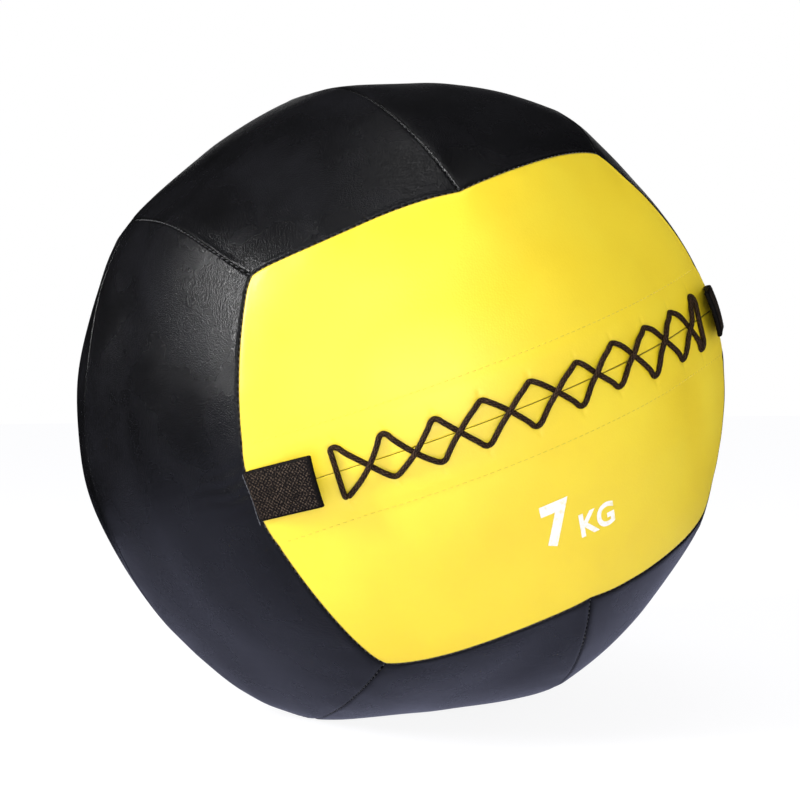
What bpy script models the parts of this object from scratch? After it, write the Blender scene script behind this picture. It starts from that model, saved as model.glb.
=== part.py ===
"""A laced medicine wall ball, stuffed and weighted, lying on one of its twelve panels.

The ball's own frame has its centre at zero, X along the lacing, Z up and the laced
face toward -Y. The whole ball is then rolled about Y and set down on its flat.
"""
import math

import bmesh
import bpy
from mathutils import Matrix, Vector

# Ball, in metres
ball_radius = 0.175
seam_rise = 0.0025          # seams stand this far above the round
panel_sink = 0.0035         # panel middles lie this far below it
crown_width = 0.052         # from a seam to where a panel is at its lowest
seam_depth = 0.0012         # how far the sewn edges are drawn in
seam_roll = 0.0045          # width of the rolled edge beside a seam
rest_depth = 0.0028         # how far the resting panel is pressed flat
roll_angle = math.radians(20)

# Touching pieces, in metres
touch_gap = 0.0003
cut_overrun = 0.002

# Seam layout: half the angle of each face's middle seam, and where three seams meet
slit_half_angle = math.radians(48.6)
side_half_angle = math.radians(51.5)
top_half_angle = math.radians(54.6)
corner_longitude = math.radians(41.1)
corner_latitude = math.radians(33.4)

# The slit runs above the middle of the laced face
slit_raise = 0.003
raised_latitude = math.radians(9)       # the band beside the slit is raised as a whole
raise_end_latitude = math.radians(30)   # where the raise has died away
raised_front_share = 0.55               # of the ball's round, toward the laced face

# Uneven stuffing: longitude and latitude in degrees, and the share of the height
bulge_height = 0.0043
bulge_reach = math.radians(12)
bulge_shares = [
    (15, 84, -1.0), (-102, 57, -0.55), (-102, 25, 0.6), (-100, 5, 0.65), (-85, -44, 0.95),
    (29, -56, 0.85), (48, -28, -0.4), (58, 32, 0.3), (57, 58, 0.4),
]

# Uneven sewing: longitude and latitude, and the shares of the pull to the right and up
pull_length = 0.0055
pull_reach = math.radians(14)
pull_shares = [
    (-26, 35, 0.0, -0.75), (15, 36, 0.0, -0.4), (42, 24, -1.0, -0.15),
    (-14, -35, 0.0, 1.0), (21, -35, 0.0, 0.9),
]

# Leather panels
leather = 0.0014
yellow_segments = (20, 8)
black_segments = (14, 10)

# Lacing
cord_radius = 0.0017
cord_rise = 0.0005          # clear height of the cord above the leather
lace_row_offset = 0.0106    # from the slit to each row of holes
lace_points = 10            # lace points in a row
lace_end_margin = 0.0064    # from the right tab's tip to the last hole, without the shift
lace_shift = 0.003          # of the whole lacing toward the right
hole_radius = 0.0022
hole_spacing = 0.0056       # between the two holes of one lace point
elbow_radius = 0.0028
under_depth = 0.0059        # of the cord below the skin, between two holes
tail_length = 0.009         # each end of the cord, tucked in beside the slit
crossing_gap = 0.0008       # between the two strands of a crossing
crossing_span = 0.0045      # from a crossing to where its upper strand comes down
crossing_drop = 0.0009      # of the upper strand at that distance
hole_sides = 8

# Facings sewn behind the slit's edges, and the tongue under it
facing_width = 0.028
facing_end_margin = 0.010   # from the webbing's tail to the facing's end
facing_thickness = 0.001
facing_gap = 0.0007
tongue_half_width = 0.018
tongue_end_margin = 0.003   # from the webbing's tail to the tongue's end
tongue_thickness = 0.0012
strip_segments = (16, 3)
facet_sag = 0.0003          # of a strip's chords below its curve

# Webbing tabs and the tails that hold them in the seams
left_tab_length = 0.0355    # from the seam to the tip
right_tab_length = 0.032
tab_width = 0.0235
tab_thickness = 0.0026
tab_bow_radius = 0.300
tab_root_inset = 0.0017     # of the fold line from the seam
tail_depth = 0.007
tail_top = 0.0006           # above the skin
bow_steps = 8
fold_steps = 6

# Filling
filling_gap = 0.0008
hollow_slope = 0.014        # width of the slope at the sides of the lacing hollow
hollow_reach = 0.016        # length of the slope at its ends
bag_radius = 0.0690
bag_thickness = 0.0012
bag_gap = 0.0014            # from the bag to the corners of the wadding's faceted bore
bag_angles = 12
ballast_gap = 0.0014        # from the bag to the ballast's corners
ballast_segments = (20, 10)

ROUND_ANGLE = math.radians(35)
FRONT = Vector((0, -1, 0))
UP = Vector((0, 0, 1))
RIGHT = Vector((1, 0, 0))
DOWN = Vector((-math.sin(roll_angle), 0, -math.cos(roll_angle)))
HALF_ANGLES = (side_half_angle, slit_half_angle, top_half_angle)
CORNER = Vector((
    math.cos(corner_latitude) * math.sin(corner_longitude),
    math.cos(corner_latitude) * math.cos(corner_longitude),
    math.sin(corner_latitude),
))
rest_height = ball_radius - panel_sink - rest_depth


# Materials

def material(name, colour, roughness, metallic=0.0):
    """A plain painted finish; the colour is linear red, green and blue."""
    made = bpy.data.materials.new(name)
    made.use_nodes = True
    shader = made.node_tree.nodes["Principled BSDF"]
    shader.inputs["Base Color"].default_value = (*colour, 1.0)
    shader.inputs["Roughness"].default_value = roughness
    shader.inputs["Metallic"].default_value = metallic
    made.diffuse_color = (*colour, 1.0)
    return made


# Scene and objects

def clear_scene():
    for thing in list(bpy.data.objects):
        bpy.data.objects.remove(thing, do_unlink=True)


def new_collection(name):
    group = bpy.data.collections.new(name)
    bpy.context.scene.collection.children.link(group)
    return group


def add_object(name, data, group, finish=None, parent=None):
    thing = bpy.data.objects.new(name, data)
    group.objects.link(thing)
    thing.parent = parent
    if finish is not None:
        data.materials.append(finish)
    return thing


def add_mesh(name, bm, group, finish=None, parent=None):
    """Closes off a bmesh as an object, shaded smooth across its gentle edges."""
    for vert in bm.verts:
        vert.co = settled(vert.co)
    mesh = bpy.data.meshes.new(name)
    bm.to_mesh(mesh)
    bm.free()
    mesh.shade_smooth()
    mesh.set_sharp_from_angle(angle=ROUND_ANGLE)
    return add_object(name, mesh, group, finish, parent)


def add_empty(name, location, group, parent=None):
    thing = bpy.data.objects.new(name, None)
    thing.empty_display_size = ball_radius
    thing.location = location
    thing.parent = parent
    group.objects.link(thing)
    return thing


def make_cutter(thing):
    thing.hide_render = True
    thing.display_type = "WIRE"


def cut(thing, cutter):
    """Takes the cutter's shape out of an object."""
    boolean = thing.modifiers.new(cutter.name, "BOOLEAN")
    boolean.operation = "DIFFERENCE"
    boolean.object = cutter


# The ball's surface

def face_middle_seam_end(outward, toward):
    """Where the middle seam of the face that looks outward ends, on the toward side."""
    half = HALF_ANGLES[max(range(3), key=lambda axis: abs(outward[axis]))]
    return outward * math.cos(half) + toward * math.sin(half)


def seam_arcs():
    """The seams in the octant where X, Y and Z are all positive, as pairs of ends."""
    x, y, z = Vector((1, 0, 0)), Vector((0, 1, 0)), Vector((0, 0, 1))
    slit_end = face_middle_seam_end(y, x)
    side_end = face_middle_seam_end(x, z)
    top_end = face_middle_seam_end(z, y)
    slit = (y, slit_end)
    others = [(x, side_end), (z, top_end)]
    others += [(CORNER, end) for end in (slit_end, side_end, top_end)]
    return slit, others


SLIT_ARC, OTHER_ARCS = seam_arcs()


def arc_distance(point, arc):
    """Angle from a unit vector to a stretch of great circle."""
    start, end = arc
    pole = start.cross(end).normalized()
    beside = pole.dot(point)
    foot = point - pole * beside
    inside = start.cross(foot).dot(pole) >= 0 and foot.cross(end).dot(pole) >= 0
    if inside:
        return abs(math.asin(beside))
    nearest = max(point.dot(start), point.dot(end))
    return math.acos(min(1.0, nearest))


def seam_distance(point):
    """Distance over the surface to the nearest sewn seam; the laced slit isn't one."""
    folded = Vector([abs(share) for share in point])
    arcs = OTHER_ARCS if point.y < 0 else [SLIT_ARC, *OTHER_ARCS]
    return ball_radius * min(arc_distance(folded, arc) for arc in arcs)


def ball_direction(longitude, latitude):
    """Direction at angles to the right of the laced face's middle and above it."""
    level = FRONT * math.cos(longitude) + RIGHT * math.sin(longitude)
    return level * math.cos(latitude) + UP * math.sin(latitude)


def nearness(point, centre, reach):
    return math.exp(-(centre.angle(point) / reach) ** 2)


def round_radius(point):
    """Radius of the stuffed ball in a direction, without the drawn-in seams."""
    short = max(0.0, 1.0 - seam_distance(point) / crown_width)
    radius = ball_radius + seam_rise - (seam_rise + panel_sink) * (1.0 - short ** 2)
    for longitude, latitude, share in bulge_shares:
        centre = ball_direction(math.radians(longitude), math.radians(latitude))
        radius += bulge_height * share * nearness(point, centre, bulge_reach)
    drop = point.dot(DOWN)
    if drop * radius > rest_height:
        radius = rest_height / drop
    return radius


def skin_radius(point):
    """Radius of the leather's outer face in a direction."""
    radius = round_radius(point)
    near = max(0.0, 1.0 - seam_distance(point) / seam_roll)
    return min(radius, radius - seam_depth * near ** 2)


def slit_direction(along, across):
    """Direction at these distances along and above the slit, over the ball's round."""
    return ball_direction(along / ball_radius, across / ball_radius)


def eased(share):
    share = max(0.0, min(1.0, share))
    return share * share * (3 - 2 * share)


def raise_turn(share=1.0):
    """A turn about X that lifts the slit by this share of its raise."""
    return Matrix.Rotation(-share * slit_raise / ball_radius, 4, "X")


def settled(point):
    """A point of the ball lifted with the slit, or away from it pulled with a seam."""
    direction = point.normalized()
    height = abs(math.asin(max(-1.0, min(1.0, direction.z))))
    near = eased((raise_end_latitude - height) / (raise_end_latitude - raised_latitude))
    aside = Vector((0, 0, 0))
    for longitude, latitude, right_share, up_share in pull_shares:
        centre = ball_direction(math.radians(longitude), math.radians(latitude))
        right = UP.cross(centre).normalized()
        pull = right * right_share + centre.cross(right) * up_share
        aside += pull * nearness(direction, centre, pull_reach)
    moved = direction + aside * (1 - near) * pull_length / ball_radius
    turn = raise_turn(near * eased(-direction.y / raised_front_share))
    return turn @ (moved.normalized() * point.length)


# Curved sheets

def face_outward(bm):
    """Turns the faces of a closed body so that all of them point out."""
    bmesh.ops.recalc_face_normals(bm, faces=bm.faces[:])
    if bm.calc_volume(signed=True) < 0:
        bmesh.ops.reverse_faces(bm, faces=bm.faces[:])


def shares(count, edge_share):
    """Even steps from 0 to 1 with a narrow one at each end."""
    inner = [edge_share + (1 - 2 * edge_share) * step / (count - 2) for step in range(count - 1)]
    return [0.0, *inner, 1.0]


def sheet(across, along, outer, inner):
    """A closed curved sheet on a grid.

    The grid's points come from outer(u, v) and, on the back, from inner(u, v), for
    u in along and v in across.
    """
    bm = bmesh.new()
    bmesh.ops.create_grid(bm, x_segments=len(along) - 1, y_segments=len(across) - 1, size=1)
    front = list(bm.verts)
    grown = bmesh.ops.extrude_face_region(bm, geom=bm.faces[:])
    back = [item for item in grown["geom"] if isinstance(item, bmesh.types.BMVert)]
    for verts, place in ((front, outer), (back, inner)):
        for vert in verts:
            column = round((vert.co.x + 1) / 2 * (len(along) - 1))
            row = round((vert.co.y + 1) / 2 * (len(across) - 1))
            vert.co = place(along[column], across[row])
    face_outward(bm)
    return bm


def keep_inside(bm, walls, clearance):
    """Moves points at least the clearance inside planes through zero.

    Each wall is a plane's normal and a direction: only points on that side count.
    """
    for _ in range(3):
        for vert in bm.verts:
            for normal, holds in walls:
                short = clearance - vert.co.dot(normal)
                if short > 0 and vert.co.dot(holds) > -touch_gap:
                    vert.co += normal * short


# Panels

def panel_corners(outward, across):
    """The panel's five corners: seam ends, outer corners and the far side's middle."""
    along = outward.cross(across)
    ends = [face_middle_seam_end(outward, along * side) for side in (-1, 1)]
    reach = [sum(abs(a) * c for a, c in zip(axis, CORNER)) for axis in (along, outward, across)]
    outer = [along * reach[0] * side + outward * reach[1] + across * reach[2] for side in (-1, 1)]
    middle = face_middle_seam_end(across, outward)
    return ends, outer, middle


def panel(outward, across, segments):
    """One leather panel, in the face that looks outward, on its across side."""
    along = outward.cross(across)
    half = HALF_ANGLES[max(range(3), key=lambda axis: abs(outward[axis]))]
    ends, outer, middle = panel_corners(outward, across)

    def direction(u, v):
        side = 2 * u - 1
        near = outward * math.cos(side * half) + along * math.sin(side * half)
        far = middle.slerp(outer[1] if side > 0 else outer[0], abs(side))
        return near.slerp(far, v)

    def outer_face(u, v):
        point = direction(u, v)
        return point * skin_radius(point)

    def inner_face(u, v):
        point = direction(u, v)
        return point * (skin_radius(point) - leather)

    columns = shares(segments[0], seam_roll / (2 * half * ball_radius))
    rows = shares(segments[1], seam_roll / (outward.angle(middle) * ball_radius))
    bm = sheet(rows, columns, outer_face, inner_face)
    edges = [(ends[0], ends[1], along * 0)]
    for end, corner, side in zip(ends, outer, (-1, 1)):
        edges += [(end, corner, along * side), (corner, middle, along * side)]
    walls = []
    for start, stop, holds in edges:
        normal = start.cross(stop).normalized()
        inward = normal if normal.dot(outward + middle + holds / 2) > 0 else -normal
        walls.append((inward, holds))
    keep_inside(bm, walls, touch_gap / 2)
    return bm


# Lacing

def slit_end_distance():
    return slit_half_angle * ball_radius


def lace_half_span():
    """From the middle of the slit to the middle of the last lace point."""
    return slit_end_distance() - right_tab_length - lace_end_margin - hole_spacing / 2


def lace_point(row, index):
    """Skin point, its outward normal and the direction along the slit."""
    pitch = 2 * lace_half_span() / (lace_points - 1)
    distance = pitch * index - lace_half_span() + lace_shift
    normal = slit_direction(distance, row * lace_row_offset)
    along = (RIGHT - normal * RIGHT.dot(normal)).normalized()
    return normal * skin_radius(normal), normal, along


def lace_hole(row, index, side):
    point, _, along = lace_point(row, index)
    return point + along * side * hole_spacing / 2


def elbow(row, index, side, target):
    """The cord from its hole up on to the leather, turning toward the target."""
    normal = lace_point(row, index)[1]
    hole = lace_hole(row, index, side)
    aim = target - hole
    aim = (aim - normal * aim.dot(normal)).normalized()
    base = cord_radius + cord_rise - elbow_radius
    points = []
    for turn in (0, math.pi / 4, math.pi / 2):
        outward = aim * elbow_radius * (1 - math.cos(turn))
        points.append(hole + outward + normal * (base + elbow_radius * math.sin(turn)))
    return points


def under(row, index):
    """The short hidden turn between the two holes of a lace point, left to right."""
    point, normal, along = lace_point(row, index)
    radius = hole_spacing / 2
    centre = point - normal * (under_depth - radius)
    turns = [math.pi * step / 3 for step in range(4)]
    return [centre - along * radius * math.cos(t) - normal * radius * math.sin(t) for t in turns]


def strand(start, end, over):
    """Points between two elbows, over or under the strand that crosses it."""
    middle = (start + end).normalized()
    resting = skin_radius(middle) + cord_radius + cord_rise
    if not over:
        return [middle * resting]
    top = resting + 2 * cord_radius + crossing_gap
    share = crossing_span / (end - start).length
    before = start.lerp(end, 0.5 - share).normalized()
    after = start.lerp(end, 0.5 + share).normalized()
    return [before * (top - crossing_drop), middle * top, after * (top - crossing_drop)]


def tucked_end(side):
    """The cord's end inside, from the lower left lace point toward the slit."""
    normal = lace_point(-1, 0)[1]
    hole = lace_hole(-1, 0, side)
    depth = under_depth - hole_spacing / 2
    radius = elbow_radius
    inward = (UP - normal * UP.dot(normal)).normalized()
    points = []
    for turn in (0, math.pi / 4, math.pi / 2):
        drop = depth + radius * math.sin(turn)
        points.append(hole + inward * radius * (1 - math.cos(turn)) - normal * drop)
    points.append(points[-1] + inward * (tail_length - radius))
    return points


def zigzag(first_row):
    """One pass of the cord along the slit, from left to right."""
    points = []
    for index in range(lace_points):
        row = first_row if index % 2 == 0 else -first_row
        if index > 0:
            arrive = elbow(row, index, -1, lace_hole(-row, index - 1, 1))
            points += strand(points[-1], arrive[-1], over=row > 0)
            points += reversed(arrive)
        if 0 < index < lace_points - 1:
            points += under(row, index)
        if index < lace_points - 1:
            points += elbow(row, index, 1, lace_hole(-row, index + 1, -1))
    return points


def end_bar(index, side):
    """The stretch straight across the slit at one end of the lacing, lower row first."""
    lower = elbow(-1, index, side, lace_hole(1, index, side))
    upper = elbow(1, index, side, lace_hole(-1, index, side))
    return lower + strand(lower[-1], upper[-1], over=False) + upper[::-1]


def lace_route():
    """The whole cord: it starts and ends tucked in at the lower left lace point."""
    last = lace_points - 1
    last_row = 1 if last % 2 else -1
    points = tucked_end(1)[::-1] + zigzag(-1)
    closing = end_bar(last, 1)
    points += under(last_row, last)
    points += closing if last_row < 0 else closing[::-1]
    points += under(-last_row, last)[::-1]
    points += zigzag(1)[::-1]
    points += under(1, 0)[::-1]
    points += end_bar(0, -1)[::-1]
    points += tucked_end(-1)
    return points


def least_gap_to_itself(points):
    """Least clear distance between stretches of the cord more than a turn apart."""
    step = cord_radius / 2
    fine = []
    travelled = 0.0
    for start, end in zip(points, points[1:]):
        pieces = max(1, math.ceil((end - start).length / step))
        for piece in range(pieces):
            fine.append((travelled + (end - start).length * piece / pieces,
                         start.lerp(end, piece / pieces)))
        travelled += (end - start).length
    apart = math.pi * hole_spacing / 2 + 2 * cord_radius
    least = min((a[1] - b[1]).length for i, a in enumerate(fine)
                for b in fine[i + 1:] if b[0] - a[0] > apart)
    return least - 2 * cord_radius, travelled


def cord(name, points, radius, group, finish, parent):
    """A tube with round sides and filled ends through the points."""
    curve = bpy.data.curves.new(name, "CURVE")
    curve.dimensions = "3D"
    curve.bevel_depth = radius
    curve.bevel_resolution = 2
    curve.use_fill_caps = True
    curve.twist_mode = "MINIMUM"
    spline = curve.splines.new("POLY")
    spline.points.add(len(points) - 1)
    for item, point in zip(spline.points, points):
        item.co = (*settled(point), 1)
    spline.use_smooth = True
    return add_object(name, curve, group, finish, parent)


def hole_cutter(row, group, parent):
    """Both holes of every lace point in a row, through leather and facing."""
    bm = bmesh.new()
    above = cut_overrun
    below = leather + facing_gap + facing_thickness + cut_overrun
    for index in range(lace_points):
        normal = lace_point(row, index)[1]
        for side in (-1, 1):
            middle = lace_hole(row, index, side) + normal * (above - below) / 2
            turn = normal.to_track_quat("Z", "Y").to_matrix().to_4x4()
            bmesh.ops.create_cone(
                bm, cap_ends=True, segments=hole_sides, radius1=hole_radius,
                radius2=hole_radius, depth=above + below, matrix=Matrix.Translation(middle) @ turn)
    name = "lace_hole_cutter_upper" if row > 0 else "lace_hole_cutter_lower"
    cutter = add_mesh(name, bm, group, parent=parent)
    make_cutter(cutter)
    return cutter


# Strips behind the slit

def strip(half_length, low, high, depth, thickness):
    """A strip that follows the skin at a depth, between two distances from the slit."""
    columns = [step / strip_segments[0] for step in range(strip_segments[0] + 1)]
    rows = [step / strip_segments[1] for step in range(strip_segments[1] + 1)]

    def point(u, v, down):
        normal = slit_direction((2 * u - 1) * half_length, low + (high - low) * v)
        return normal * (round_radius(normal) - down)

    return sheet(rows, columns, lambda u, v: point(u, v, depth),
                 lambda u, v: point(u, v, depth + thickness))


# Tabs

def seam_end_frame(side):
    """Place at the slit's end: X from the seam toward the middle, Z outward."""
    normal = slit_direction(side * slit_end_distance(), 0)
    inward = (FRONT - normal * FRONT.dot(normal)).normalized()
    width = normal.cross(inward)
    turn = Matrix((inward, width, normal)).transposed().to_4x4()
    return Matrix.Translation(normal * skin_radius(normal)) @ turn


def block(low, high, place):
    """A box between two corners in a local frame."""
    bm = bmesh.new()
    bmesh.ops.create_cube(bm, size=1)
    size = Vector(high) - Vector(low)
    middle = (Vector(high) + Vector(low)) / 2
    bmesh.ops.scale(bm, vec=size, verts=bm.verts)
    bmesh.ops.translate(bm, vec=middle, verts=bm.verts)
    bmesh.ops.transform(bm, matrix=place, verts=bm.verts)
    return bm


def tab_tail(side):
    """The doubled webbing's tail: a slab trimmed along the seams that hold it."""
    low = (-tab_thickness, -tab_width / 2, -tail_depth)
    high = (tab_thickness, tab_width / 2, tail_top)
    bm = block(low, high, seam_end_frame(side))
    end = face_middle_seam_end(FRONT, RIGHT * side)
    for level in (1, -1):
        corner = Vector((side * CORNER.x, -CORNER.y, level * CORNER.z))
        normal = end.cross(corner).normalized()
        if normal.dot(FRONT) < 0:
            normal = -normal
        cut_plane = bmesh.ops.bisect_plane(
            bm, geom=bm.verts[:] + bm.edges[:] + bm.faces[:], plane_co=normal * touch_gap / 2,
            plane_no=normal, clear_inner=True)
        edges = [item for item in cut_plane["geom_cut"] if isinstance(item, bmesh.types.BMEdge)]
        bmesh.ops.contextual_create(bm, geom=edges)
    face_outward(bm)
    return bm


def tab_notch(side, group, parent):
    """Room in the yellow leather for the webbing's tail."""
    low = (-tab_thickness, -tab_width / 2 - touch_gap, -tail_depth)
    high = (tab_thickness + touch_gap, tab_width / 2 + touch_gap, tail_top + cut_overrun)
    name = "tab_notch_cutter_left" if side < 0 else "tab_notch_cutter_right"
    cutter = add_mesh(name, block(low, high, seam_end_frame(side)), group, parent=parent)
    make_cutter(cutter)
    return cutter


def tab_outline(length):
    """The doubled webbing seen from its edge: round at the fold line and at the tip."""
    half = tab_thickness / 2
    reach = length - tab_root_inset - half
    sweep = reach / tab_bow_radius
    top, bottom = [], []
    for step in range(bow_steps + 1):
        angle = sweep * step / bow_steps
        for line, radius in ((top, tab_bow_radius + half), (bottom, tab_bow_radius - half)):
            line.append((radius * math.sin(angle), radius * math.cos(angle) - tab_bow_radius))
    tip_middle = (tab_bow_radius * math.sin(sweep), tab_bow_radius * math.cos(sweep) - tab_bow_radius)
    tip, root = [], []
    for step in range(1, fold_steps):
        angle = math.pi * step / fold_steps
        tip_angle = math.pi / 2 - sweep - angle
        tip.append((tip_middle[0] + half * math.cos(tip_angle),
                    tip_middle[1] + half * math.sin(tip_angle)))
        root.append((half * math.cos(-math.pi / 2 - angle), half * math.sin(-math.pi / 2 - angle)))
    return top + tip + bottom[::-1] + root


def tab(name, length, group, finish, parent):
    """A flat outline in the parent's XZ plane, as wide as the webbing along Y."""
    curve = bpy.data.curves.new(name, "CURVE")
    curve.dimensions = "2D"
    curve.fill_mode = "BOTH"
    curve.extrude = tab_width / 2
    outline = tab_outline(length)
    spline = curve.splines.new("POLY")
    spline.points.add(len(outline) - 1)
    for item, point in zip(spline.points, outline):
        item.co = (*point, 0, 1)
    spline.use_cyclic_u = True
    thing = add_object(name, curve, group, finish, parent)
    thing.rotation_euler = (math.pi / 2, 0, 0)
    return thing


# Filling

def lacing_hollow(point):
    """How far the wadding stands back behind the slit, in a direction."""
    if point.y > 0:
        return 0.0
    along = ball_radius * abs(math.atan2(point.x, -point.y))
    across = ball_radius * abs(math.asin(max(-1.0, min(1.0, point.z))))
    side = (facing_width + touch_gap + hollow_slope - across) / hollow_slope
    end = (slit_end_distance() + tab_thickness + hollow_reach - along) / hollow_reach
    share = max(0.0, min(1.0, side)) * max(0.0, min(1.0, end))
    return share * (tongue_depth() + tongue_thickness + facet_sag + touch_gap
                    - seam_depth - leather - filling_gap)


def tongue_depth():
    return under_depth + cord_radius + touch_gap


def half_shell(half, outer, inner, lengths, turns):
    """The upper or lower half of a hollow body, as radii in a direction.

    Lengths are angles from -X to +X, and turns go about X from the laced face.
    """
    def place(u, v, radius):
        level = FRONT * math.cos(v) + UP * half * math.sin(v)
        point = RIGHT * math.sin(u) + level * math.cos(u)
        return point * radius(point)

    bm = sheet(turns, lengths, lambda u, v: place(u, v, outer), lambda u, v: place(u, v, inner))
    bmesh.ops.remove_doubles(bm, verts=bm.verts[:], dist=touch_gap / 10)
    bmesh.ops.dissolve_degenerate(bm, edges=bm.edges[:], dist=touch_gap / 10)
    keep_inside(bm, [(UP * half, UP * 0)], touch_gap / 2)
    face_outward(bm)
    return bm


def even_angles(count, start, end):
    return [start + (end - start) * step / count for step in range(count + 1)]


def wadding_radius(point):
    back = seam_depth + leather + filling_gap + lacing_hollow(point)
    return round_radius(point) - back


def wadding_turns():
    """Turns about X, closer together on the slope of the lacing hollow."""
    edge = (facing_width + touch_gap) / ball_radius
    foot = edge + hollow_slope / ball_radius
    return [0.0, edge / 2, edge, foot, *even_angles(12, foot, math.pi)[1:]]


def wadding_lengths():
    edge = slit_half_angle + tab_thickness / ball_radius
    foot = edge + hollow_reach / ball_radius
    outer = even_angles(3, foot, math.pi / 2)
    inner = even_angles(10, -edge, edge)
    return [-angle for angle in outer[::-1]] + inner + outer


# The object

def build():
    clear_scene()
    parts = new_collection("wall_ball")
    cutters = new_collection("wall_ball_cutters")
    yellow = material("yellow_leather", (0.955, 0.800, 0.045), 0.45)
    black = material("black_leather", (0.012, 0.012, 0.014), 0.42)
    lace = material("lace_cord", (0.016, 0.008, 0.005), 0.80)
    webbing = material("webbing", (0.018, 0.015, 0.013), 0.85)
    lining = material("lining", (0.30, 0.28, 0.25), 0.90)
    cotton = material("wadding", (0.62, 0.58, 0.50), 0.95)
    canvas = material("canvas", (0.40, 0.36, 0.28), 0.90)
    iron_sand = material("iron_sand", (0.09, 0.08, 0.08), 0.60, 0.6)

    ball = add_empty("ball_centre", (0, 0, rest_height), parts)
    ball.rotation_euler = (0, -roll_angle, 0)
    left, back = -RIGHT, -FRONT
    layout = [
        ("lace_panel_upper", FRONT, UP), ("lace_panel_lower", FRONT, -UP),
        ("side_panel_left_front", left, FRONT), ("side_panel_left_back", left, back),
        ("side_panel_right_front", RIGHT, FRONT), ("side_panel_right_back", RIGHT, back),
        ("top_panel_left", UP, left), ("top_panel_right", UP, RIGHT),
        ("bottom_panel_left", -UP, left), ("bottom_panel_right", -UP, RIGHT),
        ("back_panel_upper", back, UP), ("back_panel_lower", back, -UP),
    ]
    notches = [tab_notch(side, cutters, ball) for side in (-1, 1)]
    for name, outward, across in layout:
        laced = outward == FRONT
        bm = panel(outward, across, yellow_segments if laced else black_segments)
        leather_panel = add_mesh(name, bm, parts, yellow if laced else black, ball)
        if laced:
            row = 1 if across == UP else -1
            holes = hole_cutter(row, cutters, ball)
            level = "upper" if row > 0 else "lower"
            inner_end = slit_end_distance() - tab_thickness - facing_end_margin
            low, high = sorted((row * touch_gap / 2, row * facing_width))
            bm = strip(inner_end, low, high, leather + facing_gap, facing_thickness)
            facing = add_mesh("lace_facing_" + level, bm, parts, lining, ball)
            for thing in (leather_panel, facing):
                cut(thing, holes)
            for notch in notches:
                cut(leather_panel, notch)

    route = lace_route()
    gap, length = least_gap_to_itself(route)
    print("lace: %.0f mm long, least gap to itself %.2f mm" % (length * 1000, gap * 1000))
    cord("lace", route, cord_radius, parts, lace, ball)
    tongue_end = slit_end_distance() - tab_thickness - tongue_end_margin
    bm = strip(tongue_end, -tongue_half_width, tongue_half_width, tongue_depth(), tongue_thickness)
    add_mesh("lace_tongue", bm, parts, lining, ball)

    for side, level, length in ((-1, "left", left_tab_length), (1, "right", right_tab_length)):
        add_mesh("tab_tail_" + level, tab_tail(side), parts, webbing, ball)
        place = raise_turn() @ seam_end_frame(side)
        height = tail_top + touch_gap + tab_thickness / 2
        hinge = add_empty("tab_hinge_" + level, (0, 0, 0), parts, ball)
        hinge.matrix_local = place @ Matrix.Translation((tab_root_inset, 0, height))
        tab("tab_" + level, length, parts, webbing, hinge)

    inner_radius = bag_radius + bag_gap
    bag_turns = even_angles(bag_angles, 0, math.pi)
    bag_lengths = even_angles(bag_angles, -math.pi / 2, math.pi / 2)
    for half, level in ((1, "upper"), (-1, "lower")):
        bm = half_shell(half, wadding_radius, lambda point: inner_radius,
                        wadding_lengths(), wadding_turns())
        add_mesh("wadding_" + level, bm, parts, cotton, ball)
        bm = half_shell(half, lambda point: bag_radius, lambda point: bag_radius - bag_thickness,
                        bag_lengths, bag_turns)
        add_mesh("ballast_bag_" + level, bm, parts, canvas, ball)
    bm = bmesh.new()
    bmesh.ops.create_uvsphere(bm, u_segments=ballast_segments[0], v_segments=ballast_segments[1],
                              radius=bag_radius - bag_thickness - ballast_gap)
    add_mesh("ballast", bm, parts, iron_sand, ball)


build()
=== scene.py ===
"""Looks of a laced wall ball: twelve sewn panels of synthetic leather, a braided lace,
two webbing tabs, the sewing thread and the printed weight.

Most shapes are made in the ball's own frame, with its centre at zero, X along the
lacing, Z up and the laced face toward -Y. BALL carries them to their place.
"""
import math

import bmesh
import bpy
import numpy as np
from mathutils import Matrix, Vector, noise
from mathutils.kdtree import KDTree


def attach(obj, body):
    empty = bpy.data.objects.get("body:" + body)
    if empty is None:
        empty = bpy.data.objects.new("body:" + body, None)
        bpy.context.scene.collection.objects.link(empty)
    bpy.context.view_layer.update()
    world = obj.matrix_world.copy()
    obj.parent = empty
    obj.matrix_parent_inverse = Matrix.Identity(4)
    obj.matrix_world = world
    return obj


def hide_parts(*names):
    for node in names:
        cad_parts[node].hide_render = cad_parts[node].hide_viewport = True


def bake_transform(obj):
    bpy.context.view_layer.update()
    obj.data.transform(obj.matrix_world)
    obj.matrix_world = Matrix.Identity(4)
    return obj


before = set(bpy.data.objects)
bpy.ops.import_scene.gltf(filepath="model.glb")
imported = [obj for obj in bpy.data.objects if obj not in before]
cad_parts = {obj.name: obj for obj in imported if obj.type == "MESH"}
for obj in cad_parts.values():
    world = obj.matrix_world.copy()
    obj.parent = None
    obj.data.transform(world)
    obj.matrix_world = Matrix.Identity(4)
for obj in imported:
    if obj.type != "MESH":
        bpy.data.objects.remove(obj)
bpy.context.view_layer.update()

MM = 0.001

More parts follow.
